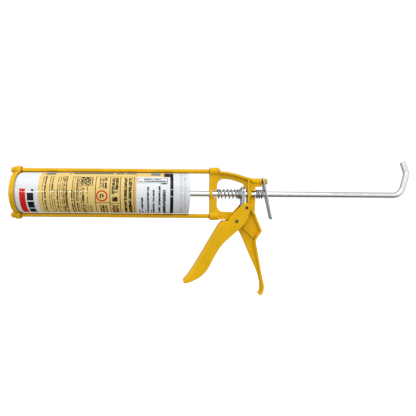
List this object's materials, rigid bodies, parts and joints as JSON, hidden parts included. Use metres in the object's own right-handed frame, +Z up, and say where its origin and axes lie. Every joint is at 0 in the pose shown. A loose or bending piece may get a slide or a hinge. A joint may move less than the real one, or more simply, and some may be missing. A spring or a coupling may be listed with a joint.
{
  "type": "caulking gun",
  "caption": "Skeleton caulking gun: front ring, two rails, cast body with trigger and hooked push rod, holding a sealant cartridge.",
  "frame": {"origin": "centre of the bounding box, on the plane of the web; it lies close under the front face of the casting", "axes": "+X runs along the push rod from the front ring to the hook, +Z is up with the trigger hanging down, +Y points to the tool's far side"},
  "size_m": [0.4964, 0.0516, 0.167],
  "materials": {
    "yellow_enamel": "semi-gloss enamel",
    "zinc_steel": "bright zinc plate",
    "spring_steel": "drawn and oiled wire",
    "dark_steel": "blackened",
    "printed_plastic": "printed and satin",
    "white_plastic": "moulded",
    "paper_label": "coated paper"
  },
  "bodies": {
    "frame": {"body_casting": "yellow_enamel", "front_ring": "yellow_enamel", "rail_top": "yellow_enamel", "rail_bottom": "yellow_enamel", "pivot_pin": "zinc_steel", "main_spring": "spring_steel", "release_spring": "spring_steel"},
    "trigger": {"trigger": "yellow_enamel", "drive_pin": "dark_steel"},
    "drive": {"drive_plate_front": "zinc_steel", "drive_plate_rear": "zinc_steel", "spring_washer": "zinc_steel"},
    "release": {"release_plate": "zinc_steel"},
    "piston": {"piston_disc": "zinc_steel"},
    "rod": {"push_rod": "zinc_steel", "piston_nut": "zinc_steel", "piston_collar": "zinc_steel"},
    "cartridge": {"cartridge_tube": "printed_plastic", "cartridge_plunger": "white_plastic", "cartridge_sticker": "paper_label"}
  },
  "joints": [
    {"name": "trigger_pull", "type": "hinge", "parent": "frame", "child": "trigger", "pos_m": [0.03293, 0, 0.00776], "axis": [0, -1, 0], "range_deg": [0, 40], "stiffness_Nm_per_rad": 0.6, "springref_deg": -17.19},
    {"name": "drive_slide", "type": "slide", "parent": "frame", "child": "drive", "axis": [-1, 0, 0], "range_m": [0, 0.0138], "deforming": ["main_spring"]},
    {"name": "release_press", "type": "hinge", "parent": "frame", "child": "release", "pos_m": [0.06698, 0, 0.05716], "axis": [0, 1, 0], "range_deg": [0, 8], "stiffness_Nm_per_rad": 0.15, "springref_deg": -17.19, "deforming": ["release_spring"]},
    {"name": "rod_slide", "type": "slide", "parent": "frame", "child": "piston", "axis": [-1, 0, 0], "range_m": [-0.0825, 0.115]},
    {"name": "rod_turn", "type": "hinge", "parent": "piston", "child": "rod", "pos_m": [0.06003, 0, 0.04146], "axis": [1, 0, 0], "continuous": true},
    {"name": "cartridge_slide", "type": "slide", "parent": "frame", "child": "cartridge", "axis": [1, 0, 0], "range_m": [0, 0.01]}
  ],
  "couplings": [
    {"joint": "drive_slide", "follows": "trigger_pull", "m_per_rad": 0.0196}
  ]
}
